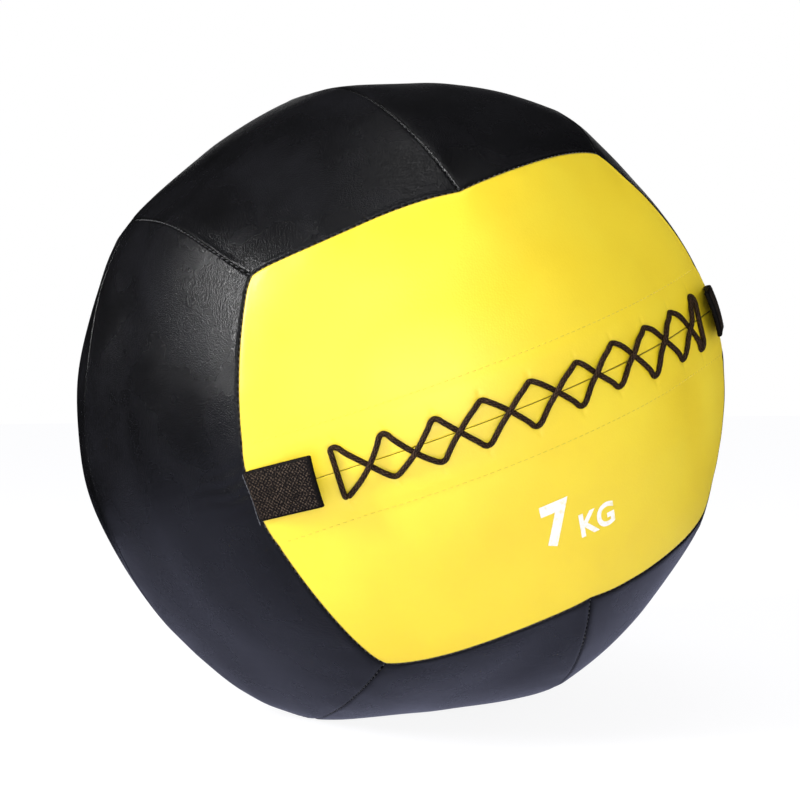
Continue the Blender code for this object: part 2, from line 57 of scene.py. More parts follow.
# The stuffed ball; its left side is fuller than in the solids, as photographed
BALL_RADIUS = 175 * MM
SEAM_RISE = 2.5 * MM
PANEL_SINK = 3.5 * MM
CROWN_WIDTH = 52 * MM
REST_DEPTH = 2.8 * MM
ROLL = math.radians(20)
REST_HEIGHT = BALL_RADIUS - PANEL_SINK - REST_DEPTH
SLIT_HALF = math.radians(48.6)
SIDE_HALF = math.radians(51.5)
TOP_HALF = math.radians(54.6)
CORNER_LONGITUDE = math.radians(41.1)
CORNER_LATITUDE = math.radians(33.4)
SLIT_RAISE = 3 * MM  # of the slit above the laced face's middle
RAISED_LATITUDE = math.radians(9)
RAISE_END_LATITUDE = math.radians(30)
RAISED_FRONT = 0.55
BULGE_HEIGHT = 4.3 * MM  # of uneven stuffing: longitude, latitude and share
BULGE_REACH = math.radians(12)
BULGES = [
    (15, 84, -1.0), (-150, 76, -0.3), (-102, 57, -0.55), (-112, 38, 0.35), (-112, 22, 1.25),
    (-111, 3, 1.6), (-108, -13, 0.8), (-85, -44, 0.95), (29, -56, 0.85), (34, -78, -0.4),
    (48, -28, -0.4), (58, 32, 0.3), (76, 42, -0.5), (57, 58, 0.4),
]
PULL_LENGTH = 5.5 * MM  # of uneven sewing: the place, and shares to the right and up
SEWING_REACH = math.radians(13)
SEWING_PULLS = [(-90, 27, 2.1, 0.1), (-90, -3, 2.0, 0.0), (-63, 43, 0.0, 0.7)]
PULL_REACH = math.radians(14)
PULLS = [  # gentler ones, which leave the band beside the slit alone
    (-26, 35, 0.0, -0.75), (15, 36, 0.0, -0.4), (42, 24, -1.0, -0.15),
    (-14, -35, 0.0, 1.0), (21, -35, 0.0, 0.9),
]
LEATHER = 1.4 * MM

# Sewn edges
SEAM_ROLL = 1.5 * MM  # width over which the leather's edge turns in
SEAM_DEPTH = 1.4 * MM  # how far the turned edge reaches in
SEAM_GAP = 0.2 * MM  # between two sewn edges
SLIT_ROLL = 0.6 * MM
SLIT_DEPTH = 0.4 * MM
SLIT_SHADES = (7.0, 2.6)  # how much narrower the painted shade along its edges is than a seam's, from its tight left part to its looser right one
SHADED_ALONG = (-100 * MM, 50 * MM)  # from its tight left part to its looser right one
SLIT_GAP = 0.12 * MM  # between the two laced edges
CORNER_PULL = 2.4 * MM  # how far the sewing rounds the laced face's corners
CORNER_REACH = 5.0 * MM
ROOT_PULL = 1.9 * MM  # how far a tab's root draws the seam in
ROOT_REACH = 10 * MM
CREASE_WIDTH = 16 * MM  # over which the stuffing rounds the panels' creases

# Unevenness of the stuffing and the leather
LUMP_SIZE = 48 * MM
LUMP_HEIGHT = 0.8 * MM
PUCKER_SIZE = 7 * MM
PUCKER_HEIGHT = 0.35 * MM
PUCKER_REACH = 8 * MM
WRINKLE_HEIGHT = 0.55 * MM  # of the creases that the tabs' roots draw in the side panels
WRINKLE_PITCH = 6.5 * MM
WRINKLE_LENGTH = 14 * MM
WRINKLE_MIDDLE = 4 * MM  # of them above the slit
WRINKLE_HALF_WIDTH = 13 * MM

# Lacing and tabs, each hole and strand placed as photographed
CORD_RADIUS = 1.25 * MM
# pairs of holes: distances along the slit, how far the upper one of a pair lies to the
# right of that and the lower one to the left, and from the slit to each row
LACE_ALONG = np.array((-104.3, -80.7, -57.9, -35.3, -10.4, 15.2, 39.3, 64.8, 92.4, 117.2)) * MM
LACE_LEAN = np.array((0.6, 0.1, 1.2, 1.6, 1.5, 1.9, 1.8, 1.4, 0.7, 2.5)) * MM
UPPER_ROW = np.array((10.6, 9.7, 8.6, 9.2, 9.3, 9.1, 10.5, 10.3, 10.6, 12.0)) * MM
LOWER_ROW = np.array((12.0, 9.4, 10.0, 10.1, 10.1, 9.6, 8.9, 12.4, 12.7, 13.8)) * MM
# how far the two strands arch aside at each crossing: along the slit and above it
STRAND_ARCH = np.array((
    (1.1, -1.6), (-0.3, -1.5), (-1.1, 1.0), (-0.3, 1.6), (-0.9, 2.0),
    (-1.9, 1.8), (-0.8, 2.7), (-1.8, 3.2), (1.8, 2.5))) * MM
LEFT_TAB_LENGTH = 38 * MM
RIGHT_TAB_LENGTH = 30.5 * MM
RIGHT_TAB_STAND = 1.4 * MM  # how much further it stands off the ball than the left one
TAB_WIDTH = 23.5 * MM
TAB_THICKNESS = 2.6 * MM
TAB_BOW_RADIUS = -500 * MM  # it bends a little away from the ball
TAB_ROOT_INSET = 1.7 * MM
TAB_HEIGHT = 2.2 * MM  # of the tab's middle above the sunk seam
SOLID_SEAM_DEPTH = 1.2 * MM
SLIT_LENGTH_HALF = SLIT_HALF * BALL_RADIUS
HOLE_SPACING = 2.9 * MM  # between the two holes of a lace point, drawn together
END_SPACING = 1.9 * MM  # where the cord's ends go in
HOLE_DIP = 0.8 * MM  # of the leather where the cord goes in
HOLE_DIP_REACH = (3.0 * MM, 1.8 * MM)  # along and across the slit
HOLE_CREASE = 0.35 * MM  # that the cord's pull draws beyond a hole
HOLE_CREASE_OUT = 3.6 * MM
HOLE_CREASE_REACH = (1.1 * MM, 1.9 * MM)

# Hems beside the slit
HEM_WIDTH = 23.3 * MM
HEM_RISE = 0.45 * MM
HEM_SLOPE = 2.2 * MM
HEM_STITCH_SINK = 0.35 * MM

BALL = Matrix.Translation((0, 0, REST_HEIGHT)) @ Matrix.Rotation(-ROLL, 4, "Y")
DOWN = np.array((-math.sin(ROLL), 0, -math.cos(ROLL)))
X, Y, Z = np.eye(3)
FRONT = -Y
CORNER = np.array((
    math.cos(CORNER_LATITUDE) * math.sin(CORNER_LONGITUDE),
    math.cos(CORNER_LATITUDE) * math.cos(CORNER_LONGITUDE),
    math.sin(CORNER_LATITUDE),
))
HALF_ANGLES = (SIDE_HALF, SLIT_HALF, TOP_HALF)
OCTANTS = np.array([(x, y, z) for x in (-1, 1) for y in (-1, 1) for z in (-1, 1)])


# Directions from the ball's centre, as the rows of an array

def unit(points):
    return points / np.linalg.norm(points, axis=-1, keepdims=True)


def turned(start, stop, shares):
    """Directions at shares of the great circle from start to stop."""
    angle = np.arccos(np.clip((start * stop).sum(-1), -1, 1))[..., None]
    shares = np.asarray(shares)[..., None]
    return (np.sin((1 - shares) * angle) * start + np.sin(shares * angle) * stop) / np.sin(angle)


def seam_half(outward):
    """Half the angle of the middle seam of the face that looks outward."""
    return HALF_ANGLES[int(np.argmax(np.abs(outward)))]


def middle_seam_end(outward, toward):
    """Where the middle seam of the face that looks outward ends, on the toward side."""
    half = seam_half(outward)
    return outward * math.cos(half) + toward * math.sin(half)


SLIT_END, SIDE_END, TOP_END = middle_seam_end(Y, X), middle_seam_end(X, Z), middle_seam_end(Z, Y)
SLIT_ARC = (Y, SLIT_END)
SEAM_ARCS = [(X, SIDE_END), (Z, TOP_END), (CORNER, SLIT_END), (CORNER, SIDE_END), (CORNER, TOP_END)]


def arc_distance(points, arc):
    """Distance over the ball from each direction to a stretch of great circle."""
    start, stop = arc
    pole = unit(np.cross(start, stop))
    beside = points @ pole
    foot = points - np.outer(beside, pole)
    inside = (foot @ np.cross(pole, start) >= 0) & (foot @ np.cross(stop, pole) >= 0)
    nearest = np.arccos(np.clip(np.maximum(points @ start, points @ stop), -1, 1))
    return BALL_RADIUS * np.where(inside, np.abs(np.arcsin(np.clip(beside, -1, 1))), nearest)


def seam_distances(points):
    """Distance to each kind of sewn seam; the laced slit isn't one."""
    folded = np.abs(points)
    back_seam = np.where(points[:, 1] > 0, arc_distance(folded, SLIT_ARC), 1.0)
    return [arc_distance(folded, arc) for arc in SEAM_ARCS] + [back_seam]


def seam_distance(points):
    return np.min(seam_distances(points), axis=0)


def eased_least(distances, width):
    """The least distance, with its creases eased over a width."""
    least = distances[0]
    for other in distances[1:]:
        share = np.clip(0.5 + (other - least) / width / 2, 0, 1)
        least = other + (least - other) * share - width * share * (1 - share)
    return np.clip(least, 0, None)


def slit_distance(points):
    return arc_distance(np.abs(points), SLIT_ARC)


def slit_place(points):
    """Distances along and above the slit, over the ball's round."""
    along = BALL_RADIUS * np.arctan2(points[:, 0], -points[:, 1])
    return along, BALL_RADIUS * np.arcsin(np.clip(points[:, 2], -1, 1))


def ball_direction(longitude, latitude):
    """Directions at angles to the right of the laced face's middle and above it."""
    longitude, latitude = np.broadcast_arrays(longitude, latitude)
    level = np.cos(longitude)[..., None] * FRONT + np.sin(longitude)[..., None] * X
    return level * np.cos(latitude)[..., None] + np.sin(latitude)[..., None] * Z


def in_degrees(longitude, latitude):
    return ball_direction(math.radians(longitude), math.radians(latitude))


def slit_direction(along, across):
    """Directions at these distances along and above the slit."""
    return ball_direction(np.asarray(along) / BALL_RADIUS, np.asarray(across) / BALL_RADIUS)


def nearness(points, centre, reach):
    return np.exp(-(np.arccos(np.clip(points @ centre, -1, 1)) / reach) ** 2)


def sideways(points, place, reach):
    """How a pull at a place moves each direction, as shares of the pull's length."""
    longitude, latitude, right_share, up_share = place
    centre = in_degrees(longitude, latitude)
    right = unit(np.cross(Z, centre))
    way = right * right_share + np.cross(centre, right) * up_share
    return np.outer(nearness(points, centre, reach), way)


def corners_rounded(points):
    """Directions after the sewing has pulled the front and back faces' corners round.

    The webbing's stiff root straightens the seam at the slit's ends in the same way.
    """
    shifted = points.copy()
    for side in (-1, 1):
        end = slit_direction(side * SLIT_LENGTH_HALF, 0)
        share = bell(BALL_RADIUS * np.arccos(np.clip(points @ end, -1, 1)), ROOT_REACH)
        inward = unit(FRONT - end * (end @ FRONT))
        shifted += np.outer(share * ROOT_PULL / BALL_RADIUS, inward)
    for place in SEWING_PULLS:
        shifted += sideways(points, place, SEWING_REACH) * PULL_LENGTH / BALL_RADIUS
    for signs in OCTANTS:
        corner = CORNER * signs
        middle = Y * signs[1]
        away = BALL_RADIUS * np.arccos(np.clip(points @ corner, -1, 1))
        share = np.exp(-away / CORNER_REACH) * CORNER_PULL / BALL_RADIUS
        shifted += np.outer(share, unit(middle - corner * (middle @ corner)))
    return unit(shifted)


# The leather's surface

def eased(share):
    share = np.clip(share, 0, 1)
    return share * share * (3 - 2 * share)


def settled(points):
    """Points of the ball lifted with the slit, or away from it pulled with a seam."""
    directions = unit(points)
    height = np.abs(np.arcsin(np.clip(directions[:, 2], -1, 1)))
    near = eased((RAISE_END_LATITUDE - height) / (RAISE_END_LATITUDE - RAISED_LATITUDE))
    aside = sum(sideways(directions, place, PULL_REACH) for place in PULLS) * (1 - near)[:, None]
    length = np.linalg.norm(points, axis=1, keepdims=True)
    x, y, z = (unit(directions + aside * PULL_LENGTH / BALL_RADIUS) * length).T
    angle = near * eased(-directions[:, 1] / RAISED_FRONT) * SLIT_RAISE / BALL_RADIUS
    turned_y = y * np.cos(angle) + z * np.sin(angle)
    return np.stack([x, turned_y, z * np.cos(angle) - y * np.sin(angle)], axis=1)


def uneven(points, size, seed):
    """Smooth seeded unevenness, mostly between -1 and 1, with features of a size."""
    random = np.random.default_rng(seed)
    ways = unit(random.normal(size=(28, 3))) * random.uniform(0.4, 1.1, (28, 1)) * math.pi / size
    return np.cos(points @ ways.T + random.uniform(0, 2 * math.pi, 28)).sum(axis=1) / 8


def bell(distance, width):
    return np.exp(-(distance / width) ** 2)


def lacing_relief(points):
    """Rise of the leather over its hems, and its dips at the lace holes."""
    along, across = slit_place(points)
    outside = np.abs(across) - HEM_WIDTH
    rise = HEM_RISE / (1 + np.exp(np.clip(4 * outside / HEM_SLOPE, -30, 30)))
    rise -= HEM_STITCH_SINK * bell(outside, HEM_SLOPE)
    index = np.abs(along[:, None] - LACE_ALONG).argmin(axis=1)
    beside = along - LACE_ALONG[index] - np.sign(across) * LACE_LEAN[index]
    away = np.where(across > 0, across - UPPER_ROW[index], -across - LOWER_ROW[index])
    width, height = HOLE_DIP_REACH
    dip = HOLE_DIP * bell(beside, width) * bell(away, height)
    width, height = HOLE_CREASE_REACH
    crease = HOLE_CREASE * bell(beside, width) * bell(away - HOLE_CREASE_OUT, height)
    return rise - dip - crease


def tab_wrinkles(points):
    """Creases that wave out from the tabs' roots over the side panels."""
    along, across = slit_place(points)
    outside = np.abs(along) - SLIT_LENGTH_HALF
    reach = np.clip(outside / (2 * MM), 0, 1) * np.exp(-np.clip(outside, 0, None) / WRINKLE_LENGTH)
    bend = across + 0.12 * outside + 1.5 * MM * np.sin(outside / (6 * MM))
    creases = np.cos(2 * math.pi * bend / WRINKLE_PITCH) * reach
    height = WRINKLE_HEIGHT * creases * bell(across - WRINKLE_MIDDLE, WRINKLE_HALF_WIDTH)
    return np.where(points[:, 1] < 0, height, 0)


def skin_radius(points, laced):
    """Radius of the leather in each direction, without its turned-in edges."""
    distances = seam_distances(points)
    seams = np.min(distances, axis=0)
    short = np.clip(1 - eased_least(distances, CREASE_WIDTH) / CROWN_WIDTH, 0, 1)
    radius = BALL_RADIUS - PANEL_SINK + (SEAM_RISE + PANEL_SINK) * short ** 2 * (2 - short)
    for longitude, latitude, share in BULGES:
        radius += BULGE_HEIGHT * share * nearness(points, in_degrees(longitude, latitude), BULGE_REACH)
    places = points * BALL_RADIUS
    relief = uneven(places, LUMP_SIZE, 3) * LUMP_HEIGHT * (0.6 if laced else 1.0)
    relief += uneven(places, PUCKER_SIZE, 4) * PUCKER_HEIGHT * np.exp(-seams / PUCKER_REACH)
    relief += 0 if laced else tab_wrinkles(points)
    radius += relief * np.clip(seams / (3 * MM), 0, 1)
    return radius + (lacing_relief(points) if laced else 0)


def set_at(points, radius):
    """The points at a radius in these directions, none of them below the resting plane."""
    placed = settled(corners_rounded(points) * radius[:, None])
    drop = placed @ DOWN
    factor = np.where(drop > REST_HEIGHT, REST_HEIGHT / np.maximum(drop, REST_HEIGHT / 2), 1.0)
    return placed * factor[:, None]


def skin(points, lift=0.0, laced=True):
    """Points on the leather, or lifted from it, in these directions."""
    points = unit(np.atleast_2d(points))
    return set_at(points, skin_radius(points, laced) + lift)


def edge_drop(distance, width, depth):
    """How far a rounded edge has turned in at a distance from its end."""
    share = np.clip(1 - distance / width, 0, 1)
    return depth * (1 - np.sqrt(1 - share ** 2))


# Colours and shader nodes

def linear(hex_colour):
    """Linear red, green, blue and alpha of an sRGB hex colour."""
    channels = [int(hex_colour[i:i + 2], 16) / 255 for i in (1, 3, 5)]
    return (*[c / 12.92 if c <= 0.04045 else ((c + 0.055) / 1.055) ** 2.4 for c in channels], 1.0)


def add_node(tree, kind, settings=None, **inputs):
    """A node with its settings; an input is a value, or another node's output to link.

    An input is named, or i and its number where names repeat.
    """
    made = tree.nodes.new("ShaderNode" + kind)
    for key, value in (settings or {}).items():
        setattr(made, key, value)
    for key, value in inputs.items():
        numbered = key[0] == "i" and key[1:].isdigit()
        socket = made.inputs[int(key[1:]) if numbered else key.replace("_", " ")]
        if isinstance(value, bpy.types.NodeSocket):
            tree.links.new(value, socket)
        else:
            socket.default_value = value
    return made


def new_material(name, roughness, **values):
    """A material with its shader, ready for patterns."""
    material = bpy.data.materials.new(name)
    material.use_nodes = True
    shader = material.node_tree.nodes["Principled BSDF"]
    shader.inputs["Roughness"].default_value = roughness
    for key, value in values.items():
        shader.inputs[key.replace("_", " ")].default_value = value
    return material, material.node_tree, shader


def ramp(tree, factor, *stops):
    """A colour ramp through (place, hex colour) stops."""
    made = add_node(tree, "ValToRGB", None, Fac=factor)
    for index, (place, colour) in enumerate(stops):
        if index > 1:
            made.color_ramp.elements.new(place)
        made.color_ramp.elements[index].position = place
        made.color_ramp.elements[index].color = linear(colour)
    return made.outputs["Color"]


def math_node(tree, operation, first, second=0.0, clamp=False):
    settings = {"operation": operation, "use_clamp": clamp}
    return add_node(tree, "Math", settings, i0=first, i1=second).outputs[0]


def mixed(tree, factor, first, second):
    return add_node(tree, "Mix", {"data_type": "RGBA"}, i0=factor, i6=first, i7=second).outputs[2]


def noise_level(tree, size, detail, **more):
    """Noise with features of a size, fixed to the object."""
    place = add_node(tree, "TexCoord").outputs["Object"]
    made = add_node(tree, "TexNoise", None, Vector=place, Scale=1 / size, Detail=detail, **more)
    return made.outputs["Fac"]


def cell_level(tree, size, settings=None, **more):
    """Distance from the middles of cells of a size, fixed to the object."""
    place = add_node(tree, "TexCoord").outputs["Object"]
    cells = add_node(tree, "TexVoronoi", settings, Vector=place, Scale=1 / size, **more)
    return cells.outputs["Distance"]


def coloured(tree, shader, level, *stops):
    tree.links.new(ramp(tree, level, *stops), shader.inputs["Base Color"])


def embossed(tree, shader, level, strength, height, invert=False):
    bump = add_node(tree, "Bump", {"invert": invert}, Strength=strength, Distance=height, Height=level)
    tree.links.new(bump.outputs["Normal"], shader.inputs["Normal"])


SEAM_SHADE_MM = 1.6  # width of the painted shade beside a seam, in its crease


def leather(name, dark, plain, light, seam_shade_colour, roughness, grain, grain_height, spec):
    """Polyurethane leather: an embossed pebble grain with a soft, slightly broken gloss, and painted shade
    beside its seams.
    """
    material, tree, shader = new_material(name, roughness, Specular_IOR_Level=spec)
    pebbles = cell_level(tree, grain, {"feature": "SMOOTH_F1"}, Smoothness=0.35, Randomness=0.9)
    pores = math_node(tree, "MULTIPLY", noise_level(tree, 0.35 * MM, 2.0), 0.3)
    swells = math_node(tree, "MULTIPLY", noise_level(tree, 4 * MM, 2.0), 0.5)
    relief = math_node(tree, "ADD", math_node(tree, "ADD", pebbles, pores), swells)
    embossed(tree, shader, relief, 1.0, grain_height, invert=True)
    cloudy = noise_level(tree, 38 * MM, 4.0)
    colour = ramp(tree, cloudy, (0.3, dark), (0.5, plain), (0.72, light))
    # Painted shade: the colour darkens to the seam shade colour within SEAM_SHADE_MM of a seam or of the
    # slit, where the creases fall into shade
    edge = add_node(tree, "Attribute", {"attribute_name": "seam_mm"}).outputs["Fac"]
    shade = math_node(tree, "SUBTRACT", 1.0, math_node(tree, "DIVIDE", edge, SEAM_SHADE_MM), clamp=True)
    colour = mixed(tree, shade, colour, linear(seam_shade_colour))
    tree.links.new(colour, shader.inputs["Base Color"])
    gloss = math_node(tree, "MULTIPLY_ADD", cloudy, 0.25)
    gloss.node.inputs[2].default_value = roughness - 0.12
    tree.links.new(gloss, shader.inputs["Roughness"])
    return material


def thread_finish(name, colour, sheen_colour):
    """Twisted polyester sewing thread: matt, with a faint silky sheen."""
    material, tree, shader = new_material(name, 0.6, Sheen_Weight=0.3)
    coloured(tree, shader, noise_level(tree, 0.4 * MM, 2.0), (0.35, colour), (0.7, sheen_colour))
    return material


def patterned(name, roughness, level_of, stops, strength, height, invert=False, **values):
    """A material whose colour and relief both follow one pattern."""
    material, tree, shader = new_material(name, roughness, **values)
    level = level_of(tree)
    coloured(tree, shader, level, *stops)
    embossed(tree, shader, level, strength, height, invert)
    return material


def yarn_level(tree, size, detail, share, attribute, relief_share):
    """Fibres over the height of the plaits or the weave, which the mesh itself has; as colour, that height
    paints shade low down and highlight on top.
    """
    relief = add_node(tree, "Attribute", {"attribute_name": attribute}).outputs["Fac"]
    fibres = math_node(tree, "MULTIPLY", noise_level(tree, size, detail), share)
    return math_node(tree, "ADD", fibres, math_node(tree, "MULTIPLY", relief, relief_share))


def braid_finish():
    """Braided polyester cord: twelve matt plaits, with painted shade in the creases between them and
    painted highlight on their tops.
    """
    return patterned("braided_polyester_cord", 0.7,
                     lambda tree: yarn_level(tree, 0.5 * MM, 2.0, 0.5, "braid", 0.6),
                     [(0.42, "#080301"), (0.7, "#180C05"), (0.95, "#5E4834")],
                     0.7, 0.1 * MM, Specular_IOR_Level=0.12)


def webbing_finish():
    """Woven polypropylene webbing: a coarse matt weave, with painted glints on its high spots and painted
    shade in its low ones.
    """
    return patterned("woven_webbing", 0.65,
                     lambda tree: yarn_level(tree, 0.7 * MM, 3.0, 1.0, "weave", 0.35),
                     [(0.48, "#040201"), (0.7, "#120C08"), (0.92, "#54473B")],
                     0.8, 0.15 * MM, Specular_IOR_Level=0.12)


def print_ink():
    """Screen-printed ink: thin, satin white, with the leather's grain in it."""
    material, tree, shader = new_material("screen_print_ink", 0.5)
    coloured(tree, shader, noise_level(tree, 2.2 * MM, 4.0), (0.25, "#F4EBC8"), (0.5, "#FFFDF6"))
    embossed(tree, shader, cell_level(tree, 1.1 * MM), 1.0, 0.03 * MM, invert=True)
    return material


def weave_level(tree, thread):
    """Crossing threads along two of the ball's axes."""
    place = add_node(tree, "TexCoord").outputs["Object"]
    return math_node(tree, "MULTIPLY", *[
        add_node(tree, "TexWave", {"bands_direction": axis}, Vector=place, Scale=1 / thread / 3,
                 Distortion=0.6, Detail=1.0).outputs["Fac"] for axis in ("X", "Z")])


def cloth_finish(name, dark, light, thread):
    """A plain woven cotton cloth, matt, with light threads and painted shade in the gaps between them."""
    return patterned(name, 0.9, lambda tree: weave_level(tree, thread),
                     [(0.1, dark), (0.8, light)], 0.6, 0.15 * MM, Sheen_Weight=0.2)


def fibre_finish():
    """Teased cotton waste: matted pale fibres, with painted shade in the hollows."""
    return patterned("cotton_waste", 0.95,
                     lambda tree: noise_level(tree, 9 * MM, 6.0, Roughness=0.7, Distortion=1.5),
                     [(0.3, "#8F826B"), (0.5, "#CFC4AC"), (0.7, "#EDE6D6")],
                     0.9, 1.5 * MM, Sheen_Weight=0.4)


def sand_finish():
    """Iron sand: loose dark grains with a dull metallic glint; painted lighter on their tops and painted
    shade between them.
    """
    return patterned("iron_sand", 0.55, lambda tree: cell_level(tree, 1.4 * MM),
                     [(0.1, "#5E5856"), (0.6, "#2B2828")], 1.0, 0.5 * MM, invert=True, Metallic=0.6)


# Meshes

def vertices(bm):
    return np.array([vert.co for vert in bm.verts])


def move_vertices(bm, points):
    for vert, point in zip(bm.verts, points):
        vert.co = point


def sheet_grid(columns, rows):
    """A flat grid as a bmesh, with each of its points' column and row."""
    bm = bmesh.new()
    bmesh.ops.create_grid(bm, x_segments=columns, y_segments=rows, size=1)
    shares = (vertices(bm) + 1) / 2
    column = np.round(shares[:, 0] * columns).astype(int)
    return bm, column, np.round(shares[:, 1] * rows).astype(int)


def grow_back(bm):
    """Closes a sheet with a second layer on the first, and returns that layer's points."""
    grown = bmesh.ops.extrude_face_region(bm, geom=bm.faces[:])["geom"]
    return [item for item in grown if isinstance(item, bmesh.types.BMVert)]


def face_outward(bm):
    bmesh.ops.recalc_face_normals(bm, faces=bm.faces[:])
    if bm.calc_volume(signed=True) < 0:
        bmesh.ops.reverse_faces(bm, faces=bm.faces[:])


def point_values(mesh, name, values):
    """A value for each point of a mesh, for its material to read."""
    attribute = mesh.attributes.new(name, "FLOAT", "POINT")
    attribute.data.foreach_set("value", np.asarray(values, np.float32))


def mesh_object(name, bm, material):
    mesh = bpy.data.meshes.new(name)
    bm.to_mesh(mesh)
    bm.free()
    mesh.materials.append(material)
    thing = bpy.data.objects.new(name, mesh)
    bpy.context.scene.collection.objects.link(thing)
    return thing


def add_piece(name, bm, finish):
    """A finished mesh as a piece of the part, shaded smooth."""
    piece = mesh_object(name, bm, finish)
    piece.data.shade_smooth()
    return piece


def add_to_ball(name, bm, finish):
    """A finished mesh of the ball's own frame, as a piece that moves with the ball."""
    bmesh.ops.transform(bm, matrix=BALL, verts=bm.verts)
    piece = add_piece(name, bm, finish)
    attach(piece, "ball")
    return piece


# Leather panels
FINE_STEP = 0.16 * MM  # between grid lines at a turned edge
STEP_GROWTH = 1.35
LACED_STEP = 0.9 * MM
COARSE_STEP = 2.8 * MM
COLUMN_STEP = 1.9 * MM
SEAM_GRADED = 14 * MM  # over which the steps grow, from a seam
SLIT_GRADED = 18 * MM
ENDS_GRADED = 10 * MM


def steps_from_edge(reach, largest):
    """Distances from an edge, close together at first."""
    steps, step = [0.0], FINE_STEP
    while steps[-1] + step < reach:
        steps.append(steps[-1] + step)
        step = min(step * STEP_GROWTH, largest)
    return np.array(steps)


def grid_shares(length, near, far, middle_step):
    """Shares of a length: the steps near both ends, and even ones between."""
    rest = length - near[-1] - far[-1]
    count = max(2, round(rest / middle_step))
    between = near[-1] + rest * np.arange(1, count) / count
    return np.concatenate([near, between, length - far[::-1]]) / length


def panel_directions(outward, across, columns, rows):
    """Directions on a panel's grid, as an array of rows, columns and coordinates."""
    along = np.cross(outward, across)
    side = 2 * columns - 1
    half = seam_half(outward)
    near = np.cos(side * half)[:, None] * outward + np.sin(side * half)[:, None] * along
    reach = [np.abs(axis) @ CORNER for axis in (along, outward, across)]
    middle = middle_seam_end(across, outward)
    sign = np.where(side < 0, -1, 1)[:, None]
    corner = sign * along * reach[0] + outward * reach[1] + across * reach[2]
    far = turned(np.broadcast_to(middle, corner.shape), corner, np.abs(side))
    return unit(turned(near[None], far[None], np.broadcast_to(rows[:, None], (len(rows), len(columns)))))


def make_panel(name, outward, across, finish, laced):
    """One leather panel: its edges turn in, and its back lies inside the ball."""
    length = 2 * seam_half(outward) * BALL_RADIUS
    width = math.acos(float(outward @ middle_seam_end(across, outward))) * BALL_RADIUS
    seam_side = SEAM_GAP / 2 + steps_from_edge(SEAM_GRADED, COARSE_STEP)
    slit_side = SLIT_GAP / 2 + steps_from_edge(SLIT_GRADED, LACED_STEP)
    ends = SEAM_GAP / 2 + steps_from_edge(ENDS_GRADED, COLUMN_STEP)
    columns = grid_shares(length, ends, ends, LACED_STEP if laced else COLUMN_STEP)
    rows = grid_shares(width, slit_side if laced else seam_side, seam_side, COARSE_STEP)

    bm, column, row = sheet_grid(len(columns) - 1, len(rows) - 1)
    directions = panel_directions(outward, across, columns, rows)[row, column]
    seams = seam_distance(directions)
    radius = skin_radius(directions, laced) - edge_drop(seams - SEAM_GAP / 2, SEAM_ROLL, SEAM_DEPTH)
    if laced:
        edges = slit_distance(directions)
        radius -= edge_drop(edges - SLIT_GAP / 2, SLIT_ROLL, SLIT_DEPTH)
        along, _ = slit_place(directions)
        # The slit's edges get painted shade too: narrower than a seam's, and wider toward the right, where
        # the slit gapes
        seams = np.minimum(seams, np.interp(along, SHADED_ALONG, SLIT_SHADES) * edges)
    move_vertices(bm, set_at(directions, radius))
    for vert in grow_back(bm):
        vert.co -= vert.co.normalized() * LEATHER
    face_outward(bm)
    piece = add_to_ball(name + "_leather", bm, finish)
    point_values(piece.data, "seam_mm", np.tile(seams / MM, 2))
    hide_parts(name)


def make_panels(yellow, black):
    left, back = -X, Y
    layout = [
        ("lace_panel_upper", FRONT, Z), ("lace_panel_lower", FRONT, -Z),
        ("side_panel_left_front", left, FRONT), ("side_panel_left_back", left, back),
        ("side_panel_right_front", X, FRONT), ("side_panel_right_back", X, back),
        ("top_panel_left", Z, left), ("top_panel_right", Z, X),
        ("bottom_panel_left", -Z, left), ("bottom_panel_right", -Z, X),
        ("back_panel_upper", back, Z), ("back_panel_lower", back, -Z),
    ]
    for name, outward, across in layout:
        laced = outward is FRONT
        make_panel(name, outward, across, yellow if laced else black, laced)


# Lace
RING_STEP = 0.42 * MM
CORD_SIDES = 24
PLAITS = 6  # that show round the cord, in each direction
PLAIT_LENGTH = 2.6 * MM
PLAIT_HEIGHT = 0.16 * MM
LACE_LIFT = 1.15 * MM  # of the cord's middle above the leather
CROSSING_LIFT = 1.6 * MM  # more for the strand on top
CROSSING_SINK = 0.8 * MM  # less for the strand below, pressed into the leather
HOLE_LIFT = 0.7 * MM  # of the cord's middle at a hole
TURN_LIFT = 0.5 * MM  # and between the two holes
TURN_OUT = 0.5 * MM  # how far the cord bows outward there
END_DEPTHS = (-2 * MM, -5 * MM)  # to which its two ends go in
STRAND_SHARES = (0.12, 0.25, 0.38, 0.5, 0.62, 0.75, 0.88)
CROSSING_SPAN = 0.2  # of a strand, that a crossing lifts or sinks


def lace_stops():
    """The holes that the lace passes, in order: row, lace point and side."""
    last = len(LACE_ALONG) - 1
    out = [(1 if index % 2 else -1, index, side) for index in range(1, last + 1) for side in (-1, 1)]
    home = [(-1 if index % 2 else 1, index, side) for index in range(last - 1, -1, -1) for side in (1, -1)]
    return [(-1, 0, 1), *out, (-1, last, 1), (-1, last, -1), *home, (-1, 0, -1)]


def hole_place(stop):
    row, index, side = stop
    spacing = END_SPACING if (row, index) == (-1, 0) else HOLE_SPACING
    across = UPPER_ROW[index] if row > 0 else -LOWER_ROW[index]
    return np.array((LACE_ALONG[index] + row * LACE_LEAN[index] + side * spacing / 2, across))


